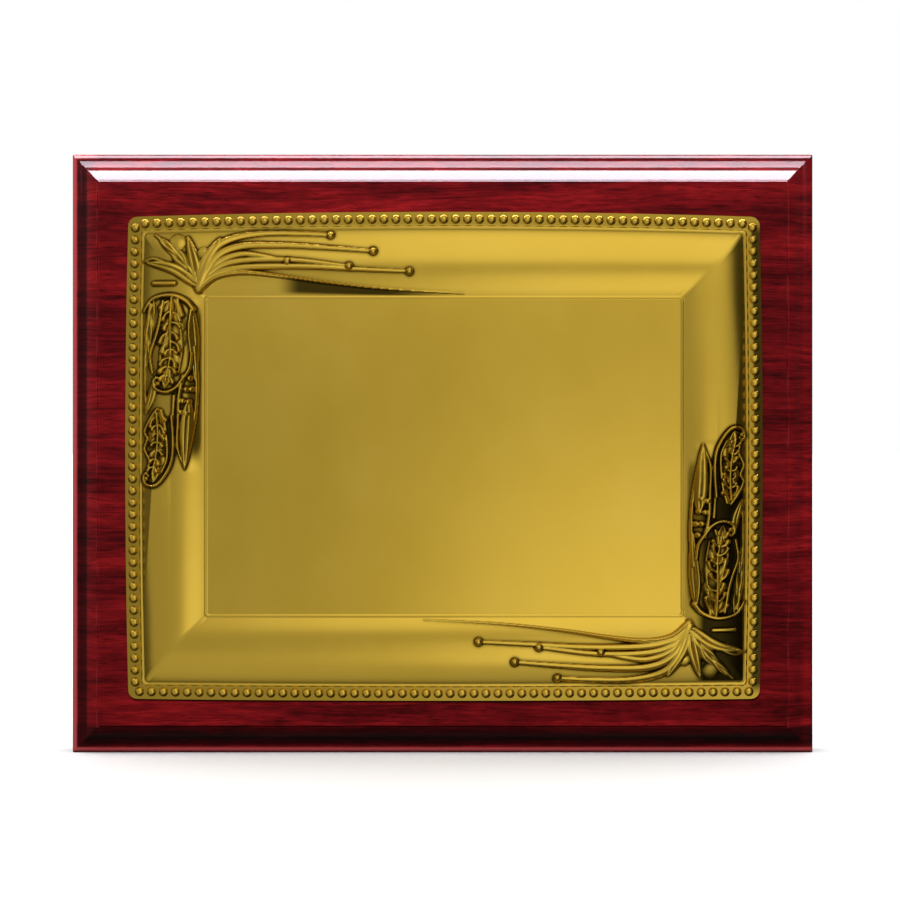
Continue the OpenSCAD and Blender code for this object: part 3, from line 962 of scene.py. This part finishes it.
def smooth_front(mesh, normals, front_faces):
    """Gives the mesh's first faces the normals of the surface and leaves the others flat."""
    loop_vertex = np.zeros(len(mesh.loops), np.int32)
    mesh.loops.foreach_get("vertex_index", loop_vertex)
    face_normal = np.zeros(len(mesh.polygons) * 3, np.float32)
    mesh.polygons.foreach_get("normal", face_normal)
    sizes = np.zeros(len(mesh.polygons), np.int32)
    mesh.polygons.foreach_get("loop_total", sizes)
    loop_face = np.repeat(np.arange(len(sizes)), sizes)
    loop_normal = face_normal.reshape(-1, 3)[loop_face]
    in_front = loop_face < front_faces
    loop_normal[in_front] = normals.reshape(-1, 3)[loop_vertex[in_front]]
    mesh.normals_split_custom_set(loop_normal.tolist())


def sheet_piece(name, u_lines, v_lines):
    """One closed piece of the stamped sheet: fine in front, plain behind, walls all around."""
    front, normals, painted_shade = sheet_front(u_lines, v_lines)
    back_i, back_j = (
        sorted({*range(0, len(lines), BACK_STRIDE), len(lines) - 1})
        for lines in (u_lines, v_lines)
    )
    back_u, back_v = np.meshgrid(u_lines[back_i], v_lines[back_j], indexing="ij")
    back, _ = plate_points(back_u, back_v, False)
    back[..., 1] += SHEET_T
    count = painted_shade.size
    index = np.arange(count).reshape(painted_shade.shape)
    behind = count + np.arange(back_u.size).reshape(back_u.shape)
    faces = quads(index)
    front_faces = len(faces)
    faces += [face[::-1] for face in quads(behind)]
    faces += wall(index[:, 0], behind[:, 0], back_i, True)
    faces += wall(index[:, -1], behind[:, -1], back_i, False)
    faces += wall(index[0, :], behind[0, :], back_j, False)
    faces += wall(index[-1, :], behind[-1, :], back_j, True)

    vertices = np.concatenate([front.reshape(-1, 3), back.reshape(-1, 3)]) * MM
    mesh = bpy.data.meshes.new(name)
    mesh.from_pydata(vertices.tolist(), [], faces)
    mesh.update()
    mesh.shade_smooth()
    smooth_front(mesh, normals, front_faces)
    # Painted shade, stored for the gold material to read
    film = mesh.attributes.new("painted_shade", "FLOAT", "POINT")
    values = np.zeros(len(vertices), np.float32)
    values[:count] = painted_shade.ravel()
    film.data.foreach_set("value", values)
    return add_object(name, mesh)


def make_plate():
    """The stamped sheet in five pieces, finely divided where the sprays and mitres are."""
    half_w, half_h = PLATE_W / 2, PLATE_H / 2
    in_w, in_h = half_w - BAND_D, half_h - LEVEL_BAND_D
    reach = 16.0
    top_u = band_lines([-half_w, reach, in_w, half_w], [FINE, COARSE, FINE])
    side_u = band_lines([-half_w, -in_w], [FINE])
    side_v = band_lines([-in_h, -reach, in_h], [COARSE, FINE])
    end_v = band_lines([in_h, half_h], [FINE])
    panel_u = band_lines([-in_w, in_w], [PANEL_STEP])
    panel_v = band_lines([-in_h, in_h], [PANEL_STEP])
    return [
        sheet_piece("plate_top", top_u, end_v),
        sheet_piece("plate_bottom", -top_u[::-1], -end_v[::-1]),
        sheet_piece("plate_left", side_u, side_v),
        sheet_piece("plate_right", -side_u[::-1], -side_v[::-1]),
        sheet_piece("plate_panel", panel_u, panel_v),
    ]


def tape_strip(name, side, level):
    """Double-sided tape under the flange, following the plate's bowed edge."""
    length, across = (PLATE_W, PLATE_H) if level else (PLATE_H, PLATE_W)
    back, front = -BOARD_T, -(BOARD_T + FLANGE_RISE - SHEET_T)
    loops = []
    for run in np.linspace(TAPE_END - length / 2, length / 2 - TAPE_END, 33):
        edges = []
        for inset in (TAPE_INSET, TAPE_INSET + TAPE_W):
            place = (run, side * (across / 2 - inset))
            x, z = bow(*(np.array(c) for c in (place if level else place[::-1])))
            edges.append((PLATE_X + float(x), PLATE_Z + float(z)))
        loops.append([(x, back, z) for x, z in edges] + [(x, front, z) for x, z in edges[::-1]])
    strip = loft(name, loops, 30)
    face_outwards(strip)
    return strip


def bead_path():
    """Points around the plate on the middle line of its bead border."""
    outline = rounded_box(PLATE_W - 2 * BEAD_D, PLATE_H - 2 * BEAD_D, 1.2, 4)
    points = []
    for a, b in zip(outline, outline[1:] + outline[:1]):
        count = max(1, int(math.dist(a, b) / 2))
        for i in range(count):
            points.append((a[0] + (b[0] - a[0]) * i / count, a[1] + (b[1] - a[1]) * i / count))
    u, v = np.array(points).T
    x, z = bow(u, v)
    y = -(BOARD_T + FLANGE_RISE - 0.1)
    return [(PLATE_X + px, y, PLATE_Z + pz) for px, pz in zip(x, z)]


def group_input(tree, name, kind, value):
    socket = tree.interface.new_socket(name=name, in_out="INPUT", socket_type=kind)
    if value is not None:
        socket.default_value = value
    return socket.identifier


def bead_border(material):
    """A row of stamped beads along a closed path, with painted shade on their lower sides."""
    tree = bpy.data.node_groups.new("bead_border", "GeometryNodeTree")
    nodes = Nodes(tree)
    group_input(tree, "Path", "NodeSocketGeometry", None)
    settings = {
        group_input(tree, "Beads", "NodeSocketInt", 12): BEAD_COUNT,
        group_input(tree, "Radius", "NodeSocketFloat", 0.001): BEAD_R * MM,
        group_input(tree, "Flattening", "NodeSocketFloat", 1.0): BEAD_FLATTENING,
        group_input(tree, "Shaded side", "NodeSocketVector", (0.0, 0.0, -1.0)): BEAD_SHADE,
    }
    tree.interface.new_socket(name="Border", in_out="OUTPUT", socket_type="NodeSocketGeometry")
    given = tree.nodes.new("NodeGroupInput").outputs
    curve = nodes.add("GeometryNodeMeshToCurve", {"Mesh": given["Path"]})
    even = nodes.add(
        "GeometryNodeResampleCurve", {"Curve": curve, "Count": given["Beads"]}, mode="COUNT"
    )
    ball = nodes.add("GeometryNodeMeshUVSphere", {
        "Segments": 12, "Rings": 6, "Radius": given["Radius"],
    })
    size = nodes.add("ShaderNodeCombineXYZ", [1.0, 1.0, given["Flattening"]])
    bead = nodes.add("GeometryNodeTransform", {
        "Geometry": ball, "Rotation": (math.pi / 2, 0.0, 0.0), "Scale": size,
    })
    row = nodes.add("GeometryNodeInstanceOnPoints", {"Points": even, "Instance": bead})
    made = nodes.add("GeometryNodeRealizeInstances", {"Geometry": row})
    # Painted shade on each bead's side that faces the shaded direction
    facing = nodes.add("ShaderNodeVectorMath", [
        nodes.add("GeometryNodeInputNormal"), given["Shaded side"]
    ], out="Value", operation="DOT_PRODUCT")
    made = nodes.add("GeometryNodeStoreNamedAttribute", {
        "Geometry": made, "Name": "painted_shade", "Value": nodes.span(facing, 0.45, 0.9, 0.0, 0.82),
    })
    made = nodes.add("GeometryNodeSetShadeSmooth", {"Geometry": made})
    made = nodes.add("GeometryNodeSetMaterial", {"Geometry": made, "Material": material})
    tree.links.new(made, tree.nodes.new("NodeGroupOutput").inputs[0])

    points = bead_path()
    mesh = bpy.data.meshes.new("bead_border")
    count = len(points)
    edges = [(i, (i + 1) % count) for i in range(count)]
    mesh.from_pydata([tuple(c * MM for c in p) for p in points], edges, [])
    border = add_object("plate_beads", mesh)
    modifier = border.modifiers.new("beads", "NODES")
    modifier.node_group = tree
    for identifier, value in settings.items():
        modifier[identifier] = value
    return apply_modifiers(border)


# ---------------------------------------------------------------- studio


def make_world():
    """A white sweep whose reflections darken before the plaque, below it and to its sides."""
    world = bpy.data.worlds.new("soft_studio")
    world.use_nodes = True
    tree = world.node_tree
    tree.nodes.clear()
    nodes = Nodes(tree)
    x, y, z = nodes.parts(nodes.add("ShaderNodeTexCoord", out="Generated"))
    behind = nodes.span(y, -0.85, -0.15, 0.04, 1.0)
    above = nodes.span(z, -0.35, 0.05, 0.12, 1.0)
    far_right = nodes.product(nodes.span(x, 0.25, 0.7), nodes.span(y, 0.1, 0.4, 1.0, 0.0))
    far_left = nodes.product(
        nodes.span(x, -0.9, -0.6, 0.8, 0.0), nodes.span(z, 0.1, 0.5, 1.0, 0.0)
    )
    shaded = nodes.math("MAXIMUM", far_right, far_left)
    open_share = nodes.math("MULTIPLY_ADD", shaded, -0.93, 1.0)
    level = nodes.product(behind, above, WORLD_LEVEL, open_share)
    # The camera itself sees plain white.
    level = nodes.math("MAXIMUM", level, nodes.add("ShaderNodeLightPath", out="Is Camera Ray"))
    glow = nodes.add("ShaderNodeBackground", {"Color": (1.0, 1.0, 1.0), "Strength": level})
    tree.links.new(glow, tree.nodes.new("ShaderNodeOutputWorld").inputs[0])
    bpy.context.scene.world = world


def softbox(name, place, aim, width, height, glow, lit):
    """A rectangular soft light of even glow, in millimetres, that lights one group of pieces."""
    data = bpy.data.lights.new(name, "AREA")
    data.shape = "RECTANGLE"
    data.size, data.size_y = width * MM, height * MM
    data.energy = glow * math.pi * data.size * data.size_y
    light = add_object(name, data)
    light.location = Vector(place) * MM
    light.rotation_euler = (Vector(aim) - Vector(place)).to_track_quat("-Z", "Y").to_euler()
    light.visible_camera = False
    light.light_linking.receiver_collection = lit
    return light


def gather(name, pieces):
    """A collection for the lights' use only, not part of the scene."""
    group = bpy.data.collections.new(name)
    for piece in pieces:
        group.objects.link(piece)
    return group


def card(name, left, right, low, high, glow, y, lit):
    """A softbox facing the plaque, its edges measured from the plate's centre."""
    x, z = (left + right) / 2, PLATE_Z + (low + high) / 2
    return softbox(name, (x, y, z), (x, 0, z), right - left, high - low, glow, lit)


def make_studio(board, plate):
    make_world()
    far = FLOOR_HALF
    corners = [(-far, -far, 0), (far, -far, 0), (far, far, 0), (-far, far, 0)]
    floor = solid("floor", corners, [(0, 1, 2, 3)])
    floor.data.materials.append(pale_floor())
    floor.visible_glossy = False
    floor.visible_diffuse = False
    floor.visible_shadow = False

    sky = bpy.data.lights.new("ceiling", "SUN")
    sky.energy, sky.angle = 3.6, math.radians(120)
    ceiling = add_object("ceiling", sky)
    ceiling.location = (0, 0, 2)
    ceiling.visible_glossy = False

    on_plate = gather("lit_plate", plate)
    on_board = gather("lit_board", [board])
    for row in CARDS:
        card(*row, on_plate)
    strip = softbox(
        "moulding_strip", (0, -340, 600), (0, -20, 200), 1300, 700, 26.0, on_board
    )
    strip.visible_diffuse = False
    strip.data.color = (0.97, 0.87, 1.0)
    key = softbox("key", (-160, -950, 920), (0, 0, 105), 600, 600, 9.0, on_board)
    key.visible_glossy = False

    # Head-on, a little right of and above the middle
    data = bpy.data.cameras.new("camera")
    data.lens, data.sensor_width = 100, 36
    data.clip_start, data.clip_end = 0.05, 200
    camera = add_object("camera", data)
    camera.location = Vector((CAMERA_X, -(BOARD_T + CAMERA_DISTANCE), CAMERA_Z)) * MM
    camera.rotation_euler = (math.pi / 2, 0, 0)
    bpy.context.scene.camera = camera
    bpy.context.scene.view_settings.view_transform = "Standard"


# ---------------------------------------------------------------- assembly


def finish_node(name, material):
    """Gives a CAD node that stays in sight its material."""
    data = NODES[name].data
    data.materials.clear()
    data.materials.append(material)


def place_piece(piece, material, body, slot, *nodes):
    """Gives a finished piece its material and body, and hides the CAD nodes it replaces. The slot
    is not used.
    """
    piece.data.materials.clear()
    piece.data.materials.append(material)
    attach(piece, body)
    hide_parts(*nodes)


board = make_board()
place_piece(board, lacquered_rosewood(), "plaque", "lacquered_wood", "board")
gold = stamped_gold()
plate = make_plate() + [bead_border(gold)]
for piece in plate:
    place_piece(piece, gold, "plaque", "embossed_brass", "award_plate")
tape = white_foam("mounting_tape", (0.85, 0.83, 0.75))
for edge, side, level in (
    ("top", 1, True), ("bottom", -1, True), ("left", -1, False), ("right", 1, False)
):
    strip = tape_strip("tape_strip_" + edge, side, level)
    place_piece(strip, tape, "plaque", "mounting_tape", "tape_" + edge)

for material, names in (
    (flocked_sheet(), ["back_lining"]),
    (white_foam("white_foam", (0.85, 0.85, 0.83)), ["panel_pad"]),
    (zinc_plate("zinc_sheet", 0.30, (0.60, 0.61, 0.62)),
     ["hanger_plate_left", "hanger_plate_right", "hinge_base", "hinge_leaf"]),
    (zinc_plate("bright_zinc", 0.20, (0.70, 0.70, 0.71)),
     ["hanger_screws", "hinge_screws", "hinge_pin", "leaf_rivets"]),
    (black_rubber(), ["bumper_top_left", "bumper_top_right", "bumper_bottom_left",
                      "bumper_bottom_right", "strut_foot"]),
    (leather_grain_paper(), ["strut_leg"]),
):
    for name in names:
        finish_node(name, material)

make_studio(board, plate)
